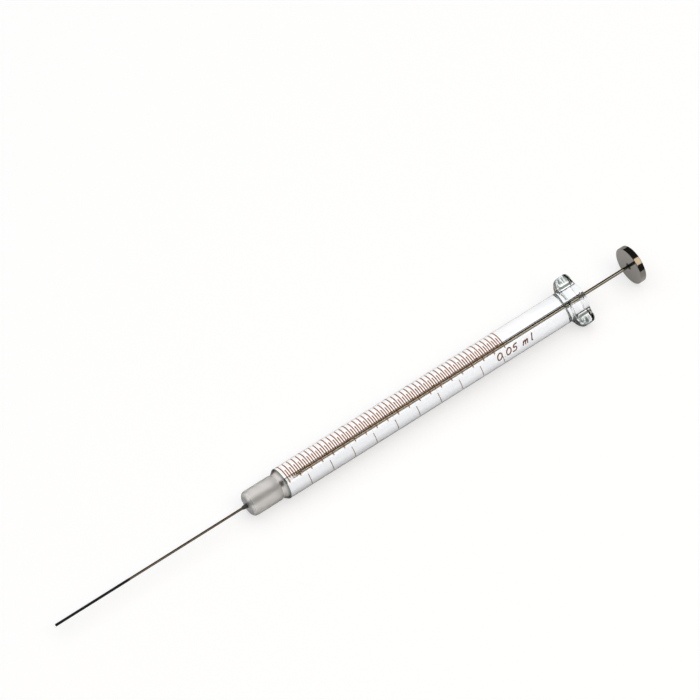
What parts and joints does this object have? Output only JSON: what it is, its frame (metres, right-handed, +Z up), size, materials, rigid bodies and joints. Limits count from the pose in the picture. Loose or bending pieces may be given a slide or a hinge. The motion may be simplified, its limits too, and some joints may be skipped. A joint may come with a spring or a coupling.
{
  "type": "microsyringe",
  "caption": "Glass microlitre syringe with a cemented steel needle, ruled barrel, two-winged finger flange and a sliding wire plunger with a disc button.",
  "frame": {"origin": "on the barrel's axis at the zero mark of the scale", "axes": "+X along the axis from the needle to the button, +Z up as it lies at rest, with the flange's wings turned 22.6 degrees from Y so that the -Y wing's tip is just over the table"},
  "size_m": [0.1606, 0.0128, 0.0094],
  "materials": {
    "clear_glass": "clear borosilicate glass, ground on the nose",
    "fired_ink": "brown-red fired ceramic ink",
    "needle_steel": "drawn stainless steel tube",
    "black_coating": "thin black fluoropolymer coating",
    "resin": "dark grey-green cured resin",
    "seal_plastic": "smooth translucent fluoropolymer",
    "rod_steel": "ground stainless steel wire",
    "polished_button": "polished nickel-like plating"
  },
  "bodies": {
    "barrel": {"barrel": "clear_glass", "graduation_marks": "fired_ink", "needle": "needle_steel", "needle_coating": "black_coating", "needle_cement": "resin"},
    "seal": {"plunger_seal": "seal_plastic"},
    "plunger": {"plunger_rod": "rod_steel", "plunger_button": "polished_button"}
  },
  "joints": [
    {"name": "plunger_slide", "type": "slide", "parent": "barrel", "child": "seal", "axis": [1, 0, 0], "range_m": [-0.002, 0.058]},
    {"name": "plunger_turn", "type": "hinge", "parent": "seal", "child": "plunger", "pos_m": [0.004, 0, 0], "axis": [1, 0, 0], "continuous": true}
  ]
}
